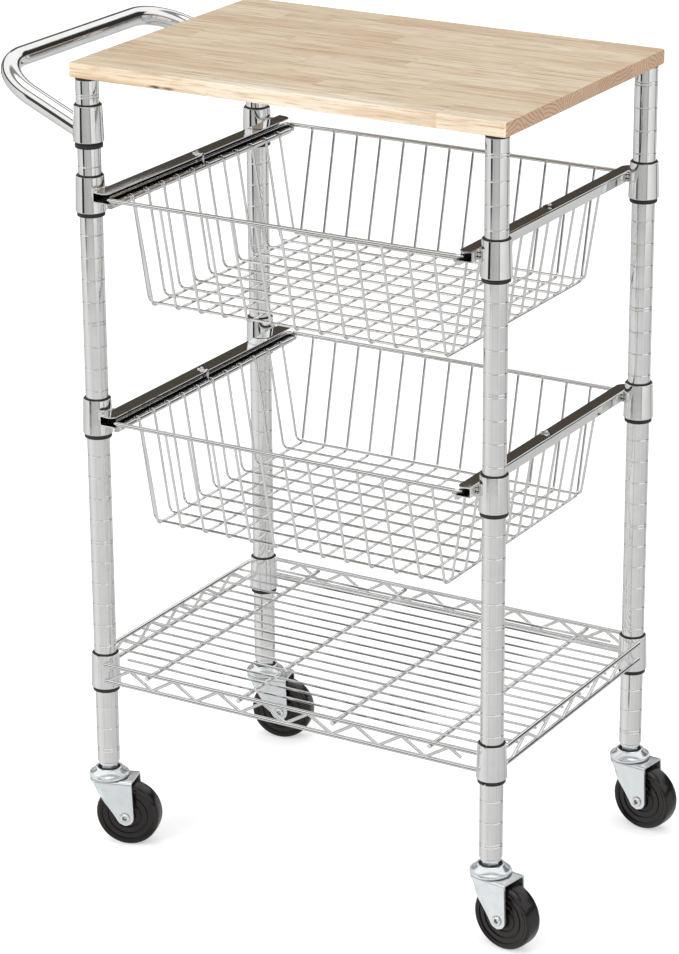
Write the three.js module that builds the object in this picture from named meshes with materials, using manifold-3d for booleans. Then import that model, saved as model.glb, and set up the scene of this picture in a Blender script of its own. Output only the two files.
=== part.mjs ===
// Kitchen island cart: four grooved posts on swivel casters, a butcher-block top,
// a push handle, two pull-out wire baskets on side rails and a wire bottom shelf.
// Millimetres, +Z up. X runs along the long side, the handle is at -X and the
// baskets pull out towards -Y.

import * as THREE from 'three';
import * as BufferGeometryUtils from 'three/addons/utils/BufferGeometryUtils.js';
import Module from 'manifold-3d';

const wasm = await Module();
wasm.setup();

// ---- driving dimensions ----

const FLOOR_TO_POST = 101;
const POST_LENGTH = 799;
const POST_RADIUS = 12.7;
const POST_WALL = 1.5;
const POST_SPAN_X = 497;
const POST_SPAN_Y = 341;

const BOARD = new THREE.Vector3(530, 366, 16);
const BOARD_EASE = 1.2;
const CAP_THICKNESS = 2;
const CAP_PLUG = 14;
const GAP = 0.3;

const COLLAR_HEIGHT = 40;
const COLLAR_BORE = 14.5;
const COLLAR_TOP_RADIUS = 15.5;
const COLLAR_FOOT_RADIUS = 16.75;
const SHELF_COLLAR_TOP = 235;
const RAIL_COLLAR_TOP = { upper: 794, lower: 540 };
const HANDLE_COLLAR_TOP = 872;

const SLEEVE_BORE = 13.3;
const SLEEVE_RADIUS = 14.1;
const SLEEVE_SLIT = 2;
const SLEEVE_SHOWS_ABOVE = 1.5;
const SLEEVE_SHOWS_BELOW = 5;

const HANDLE_RADIUS = 11.1;
const HANDLE_REACH = 129;
const HANDLE_BEND = 62;
const HANDLE_RISE = THREE.MathUtils.degToRad(24);
const HANDLE_ROOT_Z = 839.8;

const RAIL_LENGTH = 382;
const RAIL_OUTER_X = 232;
const RAIL_HEIGHT = 12;
const RAIL_TOP_FLANGE = 17.5;
const RAIL_FOOT_FLANGE = 19.7;
const RAIL_LIP = 7;
const RAIL_SHEET = 1.2;
const RAIL_BELOW_COLLAR_TOP = 12;

const RIM_X = 219;
const RIM_Y = 187;
const RIM_WIRE = 2.4;
const RIM_CORNER = 8;
const RIM_ABOVE_RAIL_FOOT = 4;
const SIDE_WIRE_X = 209;
const SIDE_WIRE_DROP = 5.2;
const BASKET_DEPTH = 122;
const BASKET_FLOOR_X = 188;
const BASKET_FLOOR_Y = 155;
const BASKET_WIRE = 1.5;
const BASKET_PITCH = 30.3;
const BASKET_COLUMNS = 13;
const BASKET_ROWS = 11;

const TRUSS_ROD = 2.5;
const TRUSS_WIRE = 1.9;
const TRUSS_DEPTH = 19.5;
const TRUSS_PITCH = 58.6;
const LONG_TRUSS_Z = 226.8;
const LONG_TRUSS_OUT = 15.5;
const LONG_TRUSS_END = 8.5;
const SHORT_TRUSS_Z = 229.5;
const SHORT_TRUSS_OUT = 12.5;
const SHORT_TRUSS_END = 16.5;
const DECK_WIRE = 1.5;
const DECK_WIRES = 16;
const DECK_PITCH = 21.2;
const DECK_Z = 225;
const DECK_EDGE_HALF_LENGTH = 226;
const SUPPORTS = 4;
const SUPPORT_PITCH = 121;
const SUPPORT_Z = 221.6;

const WHEEL_RADIUS = 37.5;
const WHEEL_HALF_WIDTH = 12;
const WHEEL_HUB_RADIUS = 10;
const WHEEL_HUB_HALF = 15.4;
const AXLE_RADIUS = 4;
const TRAIL = 23;
const FORK_OUTER = 18.5;
const FORK_SHEET = 2.5;
const FORK_TOP_Z = 82;
const FORK_BOSS = 10;
const RACE_RADIUS = 23;
const KINGPIN_RADIUS = 4.5;
const SWIVEL_AT_REST = { front_left: 17, front_right: -9, back_right: -7, back_left: 14 };

const POST_SIDES = 16;
const CASTER_SIDES = 12;
const WHEEL_SIDES = 20;

// ---- materials ----

const chrome = new THREE.MeshStandardMaterial({ color: 0xc9cccd, roughness: 0.12, metalness: 1 });
const zinc = new THREE.MeshStandardMaterial({ color: 0xc4cbcd, roughness: 0.3, metalness: 1 });
const wood = new THREE.MeshStandardMaterial({ color: 0xdcc4a0, roughness: 0.5, metalness: 0 });
const plastic = new THREE.MeshStandardMaterial({ color: 0x18181a, roughness: 0.5, metalness: 0 });
const rubber = new THREE.MeshStandardMaterial({ color: 0x262324, roughness: 0.55, metalness: 0 });

// ---- solid helpers ----

function solid(geometry) {
  const bare = geometry.clone();
  bare.deleteAttribute('normal');
  bare.deleteAttribute('uv');
  const merged = BufferGeometryUtils.mergeVertices(bare, 1e-4);
  const mesh = new wasm.Mesh({
    numProp: 3,
    vertProperties: new Float32Array(merged.attributes.position.array),
    triVerts: new Uint32Array(merged.index.array),
  });
  return new wasm.Manifold(mesh);
}

function geometryOf(manifold) {
  const mesh = manifold.getMesh();
  const geometry = new THREE.BufferGeometry();
  geometry.setAttribute('position', new THREE.BufferAttribute(mesh.vertProperties, 3));
  geometry.setIndex(new THREE.BufferAttribute(mesh.triVerts, 1));
  geometry.computeVertexNormals();
  return geometry;
}

function weld(geometries) {
  const joined = geometries.map(solid).reduce((sum, next) => sum.add(next));
  return geometryOf(joined);
}

// A straight round bar between two points.
function bar(from, to, radius, sides = 6) {
  const along = to.clone().sub(from);
  const geometry = new THREE.CylinderGeometry(radius, radius, along.length(), sides);
  const turn = new THREE.Quaternion().setFromUnitVectors(
    new THREE.Vector3(0, 1, 0),
    along.clone().normalize(),
  );
  geometry.applyQuaternion(turn);
  const middle = from.clone().add(to).multiplyScalar(0.5);
  return geometry.translate(middle.x, middle.y, middle.z);
}

// A box given by its centre and its full sizes.
function block(centre, size) {
  return new THREE.BoxGeometry(size.x, size.y, size.z).translate(centre.x, centre.y, centre.z);
}

// The side of the square wire that weighs as much as a round one.
function squareSide(radius) {
  return radius * Math.sqrt(Math.PI);
}

// A turned shape about the Z axis from [radius, height] pairs.
function turned(profile, sides) {
  const points = profile.map(([radius, height]) => new THREE.Vector2(radius, height));
  return new THREE.LatheGeometry(points, sides).rotateX(Math.PI / 2);
}

function mirrorX(geometry) {
  const flipped = geometry.clone().scale(-1, 1, 1);
  const index = flipped.index.array;
  for (let i = 0; i < index.length; i += 3) {
    [index[i], index[i + 1]] = [index[i + 1], index[i]];
  }
  return flipped;
}

function v(x, y, z) {
  return new THREE.Vector3(x, y, z);
}

// Evenly spaced values centred on zero.
function spread(count, pitch) {
  return Array.from({ length: count }, (_, i) => (i - (count - 1) / 2) * pitch);
}

// ---- layout ----

const cart = new THREE.Group();
const postX = POST_SPAN_X / 2;
const postY = POST_SPAN_Y / 2;
const corners = {
  front_left: v(-postX, -postY, 0),
  front_right: v(postX, -postY, 0),
  back_right: v(postX, postY, 0),
  back_left: v(-postX, postY, 0),
};

function place(name, geometry, material, at = v(0, 0, 0), parent = cart) {
  const mesh = new THREE.Mesh(geometry, material);
  mesh.name = name;
  mesh.position.copy(at);
  parent.add(mesh);
}

// ---- posts, caps and board ----

function postGeometry() {
  const inner = POST_RADIUS - POST_WALL;
  return turned([
    [inner, 0],
    [POST_RADIUS, 0],
    [POST_RADIUS, POST_LENGTH],
    [inner, POST_LENGTH],
    [inner, 0],
  ], POST_SIDES);
}

function capGeometry() {
  const plug = POST_RADIUS - POST_WALL - 2 * GAP;
  return turned([
    [0, -CAP_PLUG],
    [plug, -CAP_PLUG],
    [plug, GAP],
    [POST_RADIUS, GAP],
    [POST_RADIUS, CAP_THICKNESS],
    [0, CAP_THICKNESS],
  ], CASTER_SIDES);
}

function boardGeometry() {
  const halfX = BOARD.x / 2 - BOARD_EASE;
  const halfY = BOARD.y / 2 - BOARD_EASE;
  const outline = new THREE.Shape([
    new THREE.Vector2(-halfX, -halfY),
    new THREE.Vector2(halfX, -halfY),
    new THREE.Vector2(halfX, halfY),
    new THREE.Vector2(-halfX, halfY),
  ]);
  const eased = new THREE.ExtrudeGeometry(outline, {
    depth: BOARD.z - 2 * BOARD_EASE,
    bevelThickness: BOARD_EASE,
    bevelSize: BOARD_EASE,
    bevelSegments: 1,
  });
  return eased.translate(0, 0, BOARD_EASE);
}

const postTop = FLOOR_TO_POST + POST_LENGTH;
for (const [corner, at] of Object.entries(corners)) {
  place(`post_${corner}`, postGeometry(), chrome, at.clone().setZ(FLOOR_TO_POST));
  place(`post_cap_${corner}`, capGeometry(), plastic, at.clone().setZ(postTop));
}
const boardBottom = postTop + CAP_THICKNESS + GAP;
place('butcher_block_top', boardGeometry(), wood, v(0, 0, boardBottom));

// ---- collars and the split sleeves that wedge them on the posts ----

function collarGeometry(at, top) {
  const ring = turned([
    [COLLAR_BORE, 0],
    [COLLAR_FOOT_RADIUS, 0],
    [COLLAR_TOP_RADIUS, COLLAR_HEIGHT],
    [COLLAR_BORE, COLLAR_HEIGHT],
    [COLLAR_BORE, 0],
  ], POST_SIDES);
  return ring.translate(at.x, at.y, top - COLLAR_HEIGHT);
}

function sleeveGeometry() {
  const slit = SLEEVE_SLIT / 2 / SLEEVE_RADIUS;
  const outline = new THREE.Shape();
  outline.absarc(0, 0, SLEEVE_RADIUS, slit, 2 * Math.PI - slit, false);
  outline.absarc(0, 0, SLEEVE_BORE, 2 * Math.PI - slit, slit, true);
  const height = SLEEVE_SHOWS_ABOVE + COLLAR_HEIGHT + SLEEVE_SHOWS_BELOW;
  return new THREE.ExtrudeGeometry(outline, { depth: height, bevelEnabled: false, curveSegments: 10 });
}

function placeSleeve(name, at, collarTop) {
  const foot = collarTop - COLLAR_HEIGHT - SLEEVE_SHOWS_BELOW;
  place(name, sleeveGeometry(), plastic, at.clone().setZ(foot));
}

for (const [corner, at] of Object.entries(corners)) {
  placeSleeve(`sleeve_shelf_${corner}`, at, SHELF_COLLAR_TOP);
  placeSleeve(`sleeve_lower_rail_${corner}`, at, RAIL_COLLAR_TOP.lower);
  placeSleeve(`sleeve_upper_rail_${corner}`, at, RAIL_COLLAR_TOP.upper);
}
placeSleeve('sleeve_handle_front', corners.front_left, HANDLE_COLLAR_TOP);
placeSleeve('sleeve_handle_back', corners.back_left, HANDLE_COLLAR_TOP);

// ---- handle: one bent tube welded to two collars ----

function handlePath() {
  const outward = v(-Math.cos(HANDLE_RISE), 0, Math.sin(HANDLE_RISE));
  const armLength = HANDLE_REACH / Math.cos(HANDLE_RISE);
  const path = new THREE.CurvePath();
  const roots = [-1, 1].map((side) => v(-postX, side * postY, HANDLE_ROOT_Z));
  const corner = roots.map((root) => root.clone().addScaledVector(outward, armLength));
  const armEnd = roots.map((root) => root.clone().addScaledVector(outward, armLength - HANDLE_BEND));
  const gripEnd = [-1, 1].map((side, i) => corner[i].clone().add(v(0, -side * HANDLE_BEND, 0)));
  path.add(new THREE.LineCurve3(roots[0], armEnd[0]));
  path.add(new QuarterBend(armEnd[0], corner[0], gripEnd[0]));
  path.add(new THREE.LineCurve3(gripEnd[0], gripEnd[1]));
  path.add(new QuarterBend(gripEnd[1], corner[1], armEnd[1]));
  path.add(new THREE.LineCurve3(armEnd[1], roots[1]));
  return path;
}

// A quarter circle that is tangent to both legs of a square corner.
class QuarterBend extends THREE.Curve {
  constructor(start, corner, end) {
    super();
    this.start = start;
    this.end = end;
    this.centre = start.clone().add(end).sub(corner);
  }

  getPoint(t, target = new THREE.Vector3()) {
    const angle = t * Math.PI / 2;
    const fromStart = this.start.clone().sub(this.centre).multiplyScalar(Math.cos(angle));
    const fromEnd = this.end.clone().sub(this.centre).multiplyScalar(Math.sin(angle));
    return target.copy(this.centre).add(fromStart).add(fromEnd);
  }
}

function roundOutline(radius, sides) {
  const ring = Array.from({ length: sides }, (_, i) => {
    const angle = i / sides * 2 * Math.PI;
    return new THREE.Vector2(radius * Math.cos(angle), radius * Math.sin(angle));
  });
  return new THREE.Shape(ring);
}

function sweep(path, radius, sides, steps) {
  return new THREE.ExtrudeGeometry(roundOutline(radius, sides), { steps, extrudePath: path });
}

function handleGeometry() {
  const tube = solid(sweep(handlePath(), HANDLE_RADIUS, 12, 30));
  const boreHeight = 160;
  let whole = tube;
  for (const at of [corners.front_left, corners.back_left]) {
    const bore = new THREE.CylinderGeometry(COLLAR_BORE, COLLAR_BORE, boreHeight, POST_SIDES);
    bore.rotateX(Math.PI / 2).rotateZ(Math.PI / 2).translate(at.x, at.y, HANDLE_ROOT_Z);
    whole = whole.subtract(solid(bore)).add(solid(collarGeometry(at, HANDLE_COLLAR_TOP)));
  }
  return geometryOf(whole);
}

place('push_handle', handleGeometry(), chrome);

// ---- basket rails: a folded channel, two collars and the basket stop ----

function railChannel(foot) {
  const web = RAIL_OUTER_X;
  const s = RAIL_SHEET;
  const lip = web - RAIL_FOOT_FLANGE;
  const profile = new THREE.Shape([
    new THREE.Vector2(web, foot),
    new THREE.Vector2(web, foot + RAIL_HEIGHT),
    new THREE.Vector2(web - RAIL_TOP_FLANGE, foot + RAIL_HEIGHT),
    new THREE.Vector2(web - RAIL_TOP_FLANGE, foot + RAIL_HEIGHT - s),
    new THREE.Vector2(web - s, foot + RAIL_HEIGHT - s),
    new THREE.Vector2(web - s, foot + s),
    new THREE.Vector2(lip, foot + s),
    new THREE.Vector2(lip, foot - RAIL_LIP + s),
    new THREE.Vector2(lip + s, foot - RAIL_LIP + s),
    new THREE.Vector2(lip + s, foot),
  ]);
  const channel = new THREE.ExtrudeGeometry(profile, { depth: RAIL_LENGTH, bevelEnabled: false });
  return channel.rotateX(Math.PI / 2).translate(0, RAIL_LENGTH / 2, 0);
}

// A folded tongue that hangs across the channel's mouth, clear of the runner wire.
function stopTongue(foot) {
  const top = foot + RAIL_HEIGHT;
  const face = RIM_X - RIM_WIRE - 2.2;
  const s = RAIL_SHEET;
  const profile = new THREE.Shape([
    new THREE.Vector2(face, foot + 2.4),
    new THREE.Vector2(face + s, foot + 2.4),
    new THREE.Vector2(face + s, top - s),
    new THREE.Vector2(face + 4, top - s / 2),
    new THREE.Vector2(RAIL_OUTER_X - 5, top - s / 2),
    new THREE.Vector2(RAIL_OUTER_X - 5, top + s),
    new THREE.Vector2(face + 3, top + s),
    new THREE.Vector2(face, top - s),
  ]);
  const width = 3;
  const tongue = new THREE.ExtrudeGeometry(profile, { depth: width, bevelEnabled: false });
  return tongue.rotateX(Math.PI / 2).translate(0, width / 2, 0);
}

function railGeometry(side, collarTop) {
  const foot = collarTop - RAIL_BELOW_COLLAR_TOP - RAIL_HEIGHT;
  const pieces = [railChannel(foot), stopTongue(foot)];
  for (const y of [-postY, postY]) {
    pieces.push(collarGeometry(v(postX, y, 0), collarTop));
    const lug = block(v(RAIL_OUTER_X + 0.4, y, foot + RAIL_HEIGHT / 2), v(2.2, 5, RAIL_HEIGHT - 2));
    pieces.push(lug);
  }
  const right = weld(pieces);
  return side > 0 ? right : mirrorX(right);
}

for (const [tier, collarTop] of Object.entries(RAIL_COLLAR_TOP)) {
  place(`rail_${tier}_left`, railGeometry(-1, collarTop), chrome);
  place(`rail_${tier}_right`, railGeometry(1, collarTop), chrome);
}

// ---- wire baskets, each built as four walls and a floor ----

function rimZ(collarTop) {
  return collarTop - RAIL_BELOW_COLLAR_TOP - RAIL_HEIGHT + RIM_ABOVE_RAIL_FOOT;
}

// The long wall at -Y: its share of the rim with both corners, and the uprights.
function longWall(rim) {
  const straight = RIM_X - RIM_CORNER;
  const path = new THREE.CurvePath();
  const left = v(-RIM_X, -RIM_Y + RIM_CORNER, rim);
  const right = v(RIM_X, -RIM_Y + RIM_CORNER, rim);
  path.add(new QuarterBend(left, v(-RIM_X, -RIM_Y, rim), v(-straight, -RIM_Y, rim)));
  path.add(new THREE.LineCurve3(v(-straight, -RIM_Y, rim), v(straight, -RIM_Y, rim)));
  path.add(new QuarterBend(v(straight, -RIM_Y, rim), v(RIM_X, -RIM_Y, rim), right));
  const pieces = cornerRods(path);
  for (const x of spread(BASKET_COLUMNS, BASKET_PITCH)) {
    const top = v(x, -RIM_Y + 1.6, rim + 1);
    const foot = v(x, -BASKET_FLOOR_Y - 1, rim - BASKET_DEPTH + 2);
    pieces.push(bar(top, foot, BASKET_WIRE * 1.2, 4));
  }
  return weld(pieces);
}

// The three stretches of a rim, joined where they meet.
function cornerRods(path) {
  const [first, middle, last] = path.curves;
  return [
    sweep(first, RIM_WIRE, 6, 3),
    bar(middle.v1.clone().setX(middle.v1.x - 1), middle.v2.clone().setX(middle.v2.x + 1), RIM_WIRE * 1.01),
    sweep(last, RIM_WIRE, 6, 3),
  ];
}

// The short wall at +X: runner wire in the rail, side wire, ties and uprights.
function shortWall(rim) {
  const reach = RIM_Y - RIM_CORNER - GAP;
  const sideZ = rim - SIDE_WIRE_DROP;
  const side = squareSide(BASKET_WIRE);
  const pieces = [
    bar(v(RIM_X, -reach, rim), v(RIM_X, reach, rim), RIM_WIRE),
    bar(v(SIDE_WIRE_X, -RIM_Y, sideZ), v(SIDE_WIRE_X, RIM_Y, sideZ), RIM_WIRE),
  ];
  for (const y of [-reach + 2, reach - 2]) {
    const span = RIM_X - SIDE_WIRE_X;
    pieces.push(block(v(SIDE_WIRE_X + span / 2, y, rim), v(span + side, side, side)));
    pieces.push(block(v(SIDE_WIRE_X, y, rim - SIDE_WIRE_DROP / 2), v(side, side, SIDE_WIRE_DROP + side)));
  }
  for (const y of spread(BASKET_ROWS, BASKET_PITCH)) {
    const top = v(SIDE_WIRE_X - 1.5, y, sideZ + 1);
    const foot = v(BASKET_FLOOR_X + 1, y, rim - BASKET_DEPTH + 4.6);
    pieces.push(bar(top, foot, BASKET_WIRE * 1.2, 4));
  }
  return weld(pieces);
}

// The floor carries every second wire of the basket's mesh.
function basketFloor(rim) {
  const z = rim - BASKET_DEPTH;
  const side = squareSide(BASKET_WIRE);
  const pieces = [];
  for (const x of spread((BASKET_COLUMNS + 1) / 2, 2 * BASKET_PITCH)) {
    pieces.push(block(v(x, 0, z), v(side, 2 * (BASKET_FLOOR_Y - 1), side)));
  }
  for (const y of spread((BASKET_ROWS + 1) / 2, 2 * BASKET_PITCH)) {
    pieces.push(block(v(0, y, z + side * 0.9), v(2 * (BASKET_FLOOR_X - 1), side, side)));
  }
  return weld(pieces);
}

for (const [tier, collarTop] of Object.entries(RAIL_COLLAR_TOP)) {
  const rim = rimZ(collarTop);
  place(`basket_${tier}_front_wall`, longWall(rim), chrome);
  place(`basket_${tier}_back_wall`, longWall(rim).rotateZ(Math.PI), chrome);
  place(`basket_${tier}_right_wall`, shortWall(rim), chrome);
  place(`basket_${tier}_left_wall`, shortWall(rim).rotateZ(Math.PI), chrome);
  place(`basket_${tier}_floor`, basketFloor(rim), chrome);
}

// ---- bottom shelf ----

// Two rods and the zigzag between them, along X, with a valley or a peak at the middle.
function truss(halfLength, topZ, legs, startLow) {
  const bottomZ = topZ - TRUSS_DEPTH;
  const pieces = [
    bar(v(-halfLength, 0, topZ), v(halfLength, 0, topZ), TRUSS_ROD),
    bar(v(-halfLength, 0, bottomZ), v(halfLength, 0, bottomZ), TRUSS_ROD),
  ];
  const step = TRUSS_PITCH / 2;
  const first = -legs / 2 * step;
  for (let leg = 0; leg < legs; leg += 1) {
    const fromLow = (leg % 2 === 0) === startLow;
    const from = v(first + leg * step, 0, fromLow ? bottomZ : topZ);
    const to = v(first + (leg + 1) * step, 0, fromLow ? topZ : bottomZ);
    pieces.push(bar(from, to, TRUSS_WIRE, 4));
  }
  return pieces;
}

function longTruss() {
  const half = postX - LONG_TRUSS_END;
  const rodY = -postY - LONG_TRUSS_OUT;
  const pieces = truss(half, LONG_TRUSS_Z, 16, true).map((piece) => piece.translate(0, rodY, 0));
  pieces.push(collarGeometry(corners.front_left, SHELF_COLLAR_TOP));
  pieces.push(collarGeometry(corners.front_right, SHELF_COLLAR_TOP));
  return weld(pieces);
}

function shortTruss() {
  const pieces = truss(postY - SHORT_TRUSS_END, SHORT_TRUSS_Z, 10, true);
  return weld(pieces).rotateZ(Math.PI / 2).translate(postX + SHORT_TRUSS_OUT, 0, 0);
}

function deckGeometry() {
  const pieces = [];
  const wire = squareSide(DECK_WIRE);
  const rod = squareSide(TRUSS_ROD);
  const supportLength = 2 * (postY + LONG_TRUSS_OUT - TRUSS_WIRE - GAP);
  const deckHalf = postX + SHORT_TRUSS_OUT - TRUSS_WIRE - GAP;
  const clearOfCollars = postY - COLLAR_FOOT_RADIUS - DECK_WIRE;
  for (const y of spread(DECK_WIRES, DECK_PITCH)) {
    const half = Math.abs(y) < clearOfCollars ? deckHalf : DECK_EDGE_HALF_LENGTH;
    pieces.push(block(v(0, y, DECK_Z), v(2 * half, wire, wire)));
  }
  for (const x of spread(SUPPORTS, SUPPORT_PITCH)) {
    pieces.push(block(v(x, 0, SUPPORT_Z), v(rod, supportLength, rod)));
  }
  return weld(pieces);
}

place('shelf_front_truss', longTruss(), chrome);
place('shelf_back_truss', longTruss().rotateZ(Math.PI), chrome);
place('shelf_right_truss', shortTruss(), chrome);
place('shelf_left_truss', shortTruss().rotateZ(Math.PI), chrome);
place('shelf_deck', deckGeometry(), chrome);

// ---- casters: the swivel axis is Z, the wheel trails towards +X ----

// Stem plug, nut, domed race and the kingpin whose head holds the fork up.
function raceGeometry() {
  const pinFoot = FORK_TOP_Z - FORK_SHEET - 3;
  const headTop = FORK_TOP_Z - FORK_SHEET - GAP;
  const dishFoot = FORK_TOP_Z + GAP;
  const plug = POST_RADIUS - POST_WALL - 2 * GAP;
  const postFoot = FLOOR_TO_POST;
  return turned([
    [0, pinFoot],
    [8, pinFoot],
    [8, headTop],
    [KINGPIN_RADIUS, headTop],
    [KINGPIN_RADIUS, dishFoot],
    [RACE_RADIUS, dishFoot],
    [RACE_RADIUS, dishFoot + 3],
    [15, dishFoot + 11],
    [13, dishFoot + 12.5],
    [10.5, postFoot - 4.5],
    [10.5, postFoot - GAP],
    [plug, postFoot - GAP],
    [plug, postFoot + 30],
    [0, postFoot + 30],
  ], CASTER_SIDES);
}

function forkCheek() {
  const angle = Math.PI * 1.22;
  const outline = new THREE.Shape();
  outline.moveTo(-18.5, FORK_TOP_Z);
  outline.lineTo(-8, FORK_TOP_Z - 23);
  outline.absarc(TRAIL, WHEEL_RADIUS, FORK_BOSS, angle, 2 * Math.PI, false);
  outline.lineTo(31, FORK_TOP_Z);
  const eye = new THREE.Path().absarc(TRAIL, WHEEL_RADIUS, AXLE_RADIUS + GAP, 0, 2 * Math.PI, true);
  outline.holes.push(eye);
  const cheek = new THREE.ExtrudeGeometry(outline, {
    depth: FORK_SHEET,
    bevelEnabled: false,
    curveSegments: 6,
  });
  return cheek.rotateX(Math.PI / 2);
}

function forkGeometry() {
  const top = new THREE.Shape();
  const half = FORK_OUTER - FORK_SHEET / 2;
  top.moveTo(31, -half);
  top.lineTo(31, half);
  top.lineTo(-6, half);
  top.lineTo(-18.5, 8);
  top.lineTo(-18.5, -8);
  top.lineTo(-6, -half);
  top.holes.push(new THREE.Path().absarc(0, 0, KINGPIN_RADIUS + 0.7, 0, 2 * Math.PI, true));
  const plate = new THREE.ExtrudeGeometry(top, { depth: FORK_SHEET, bevelEnabled: false, curveSegments: 6 });
  plate.translate(0, 0, FORK_TOP_Z - FORK_SHEET);
  return weld([
    plate,
    forkCheek().translate(0, -FORK_OUTER + FORK_SHEET, 0),
    forkCheek().translate(0, FORK_OUTER, 0),
  ]);
}

function rivetGeometry() {
  const out = FORK_OUTER + GAP;
  const rivet = turned([
    [0, -out - 2.2],
    [4.5, -out - 2.2],
    [6.5, -out - 0.8],
    [6.5, -out],
    [AXLE_RADIUS, -out],
    [AXLE_RADIUS, out],
    [6.5, out],
    [6.5, out + 0.8],
    [4.5, out + 2.2],
    [0, out + 2.2],
  ], 8);
  return rivet.rotateX(-Math.PI / 2);
}

function wheelGeometry() {
  const bore = AXLE_RADIUS + 0.5;
  const half = WHEEL_HALF_WIDTH;
  const profile = [
    [bore, -WHEEL_HUB_HALF],
    [WHEEL_HUB_RADIUS, -WHEEL_HUB_HALF],
    [WHEEL_HUB_RADIUS + 3, -half + 2],
    [WHEEL_RADIUS - 4, -half],
    [WHEEL_RADIUS, -half + 4],
    [WHEEL_RADIUS, half - 4],
    [WHEEL_RADIUS - 4, half],
    [WHEEL_HUB_RADIUS + 3, half - 2],
    [WHEEL_HUB_RADIUS, WHEEL_HUB_HALF],
    [bore, WHEEL_HUB_HALF],
    [bore, -WHEEL_HUB_HALF],
  ];
  return turned(profile, WHEEL_SIDES).rotateX(-Math.PI / 2);
}

for (const [corner, at] of Object.entries(corners)) {
  place(`caster_race_${corner}`, raceGeometry(), zinc, at);
  const swivel = new THREE.Group();
  swivel.position.copy(at);
  swivel.rotation.z = THREE.MathUtils.degToRad(SWIVEL_AT_REST[corner]);
  cart.add(swivel);
  place(`caster_fork_${corner}`, forkGeometry(), zinc, v(0, 0, 0), swivel);
  place(`caster_axle_${corner}`, rivetGeometry(), zinc, v(TRAIL, 0, WHEEL_RADIUS), swivel);
  place(`caster_wheel_${corner}`, wheelGeometry(), rubber, v(TRAIL, 0, WHEEL_RADIUS), swivel);
}

// ---- origin: centre of the footprint, on the floor ----

const bounds = new THREE.Box3().setFromObject(cart, true);
const middle = bounds.getCenter(new THREE.Vector3());
cart.position.set(-middle.x, -middle.y, -bounds.min.z);
cart.updateMatrixWorld(true);

export default cart;
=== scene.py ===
"""Looks for the kitchen island cart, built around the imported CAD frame.

Shapes are made in millimetres about the middle of the four posts, with Z up from the floor,
and are moved to the frame's metres when a piece is made.
"""

import math
import random

import bpy
from mathutils import Matrix, Vector


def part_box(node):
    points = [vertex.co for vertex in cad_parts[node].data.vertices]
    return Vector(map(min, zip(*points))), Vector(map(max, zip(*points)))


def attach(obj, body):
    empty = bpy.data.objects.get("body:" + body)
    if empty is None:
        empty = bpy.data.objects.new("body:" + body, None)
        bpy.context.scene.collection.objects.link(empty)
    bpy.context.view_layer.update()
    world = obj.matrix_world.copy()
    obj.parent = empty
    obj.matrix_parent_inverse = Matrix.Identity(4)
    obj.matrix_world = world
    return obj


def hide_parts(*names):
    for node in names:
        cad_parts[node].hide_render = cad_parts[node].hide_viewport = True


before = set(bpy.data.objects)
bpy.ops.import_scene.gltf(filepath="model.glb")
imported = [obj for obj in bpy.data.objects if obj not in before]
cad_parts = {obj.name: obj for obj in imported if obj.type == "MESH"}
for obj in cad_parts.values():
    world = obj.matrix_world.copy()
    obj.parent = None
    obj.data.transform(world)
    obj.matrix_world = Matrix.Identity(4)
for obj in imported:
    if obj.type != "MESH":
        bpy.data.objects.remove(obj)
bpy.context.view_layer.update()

MM = 0.001
CORNERS = ("front_left", "front_right", "back_right", "back_left")
TIERS = ("upper", "lower")

# sizes in millimetres, and counts. Wires, rods and the steps of a sleeve are given by their radius
POST_RADIUS = 12.7
POST_WALL = 1.5
GROOVE_PITCH = 25.4
GROOVES = 31
GROOVE_HALF = 0.95
GROOVE_DEPTH = 0.55
FIRST_GROOVE = 18.0
TWIN_EVERY = 10
TWIN_ABOVE_FROM = 20
TWIN_OFFSET = 3.2
COLLAR_HEIGHT = 40.0
COLLAR_TOP_RADIUS = 15.5
COLLAR_FOOT_RADIUS = 16.75
COLLAR_BORE = 14.3
SLEEVE_SHOWS_ABOVE = 1.5
SLEEVE_LIP = 15.3
SLEEVE_BODY = 14.15
SLEEVE_BORE = 13.0
SLEEVE_SLIT = math.radians(4.5)
HANDLE_RADIUS = 11.1
HANDLE_BEND = 62.0
HANDLE_RISE = math.radians(24)
HANDLE_ROOT_BELOW = 32.2
HANDLE_BEADS = 34
RAIL_SHEET = 1.2
RAIL_HEIGHT = 12.0
RAIL_DROOP = 0.06
RAIL_TOP_FLANGE = 17.5
RAIL_FOOT_FLANGE = 19.7
RAIL_LIP = 7.0
RAIL_WEB = 232.0
RAIL_END = 191.0
RAIL_FOOT_BELOW = 24.0
# how far in from the web a line along the channel's bed is left out of the painted shade
RAIL_UNSHADED_LINE = 9.5
RIM_X = 219.0
RIM_Y = 187.0
RIM_BELOW = 20.0
RIM_WIRE = 2.4
SIDE_WIRE_X = 209.0
SIDE_WIRE_DROP = 5.1
MESH_WIRE = 1.5
BASKET_PITCH = 30.3
BASKET_COLUMNS = 13
BASKET_ROWS = 11
BASKET_DEPTH = 122.0
BASKET_FLOOR_X = 188.0
BASKET_FLOOR_Y = 155.0
BASKET_CROSS_LIFT = 2.7
TRUSS_ROD = 2.5
TRUSS_WIRE = 1.9
TRUSS_PITCH = 58.6
TRUSS_DEPTH = 19.5
LONG_TRUSS_OUT = 15.5
SHORT_TRUSS_OUT = 12.5
DECK_LINES = 16
DECK_LINE_PITCH = 21.2
DECK_LINE_HALF = 263.0
DECK_OUTER_LINE_HALF = 226.0
DECK_LINE_Z = 225.2
DECK_ROD_HALF = 188.2
DECK_ROD_Z = 221.5
DECK_RODS = 4
DECK_ROD_PITCH = 121.0
WHEEL_RADIUS = 37.5
AXLE_X = 23.0
FORK_BACK = -20.0
FORK_FRONT = 31.5
FORK_HALF_WIDTH = 18.5
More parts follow.
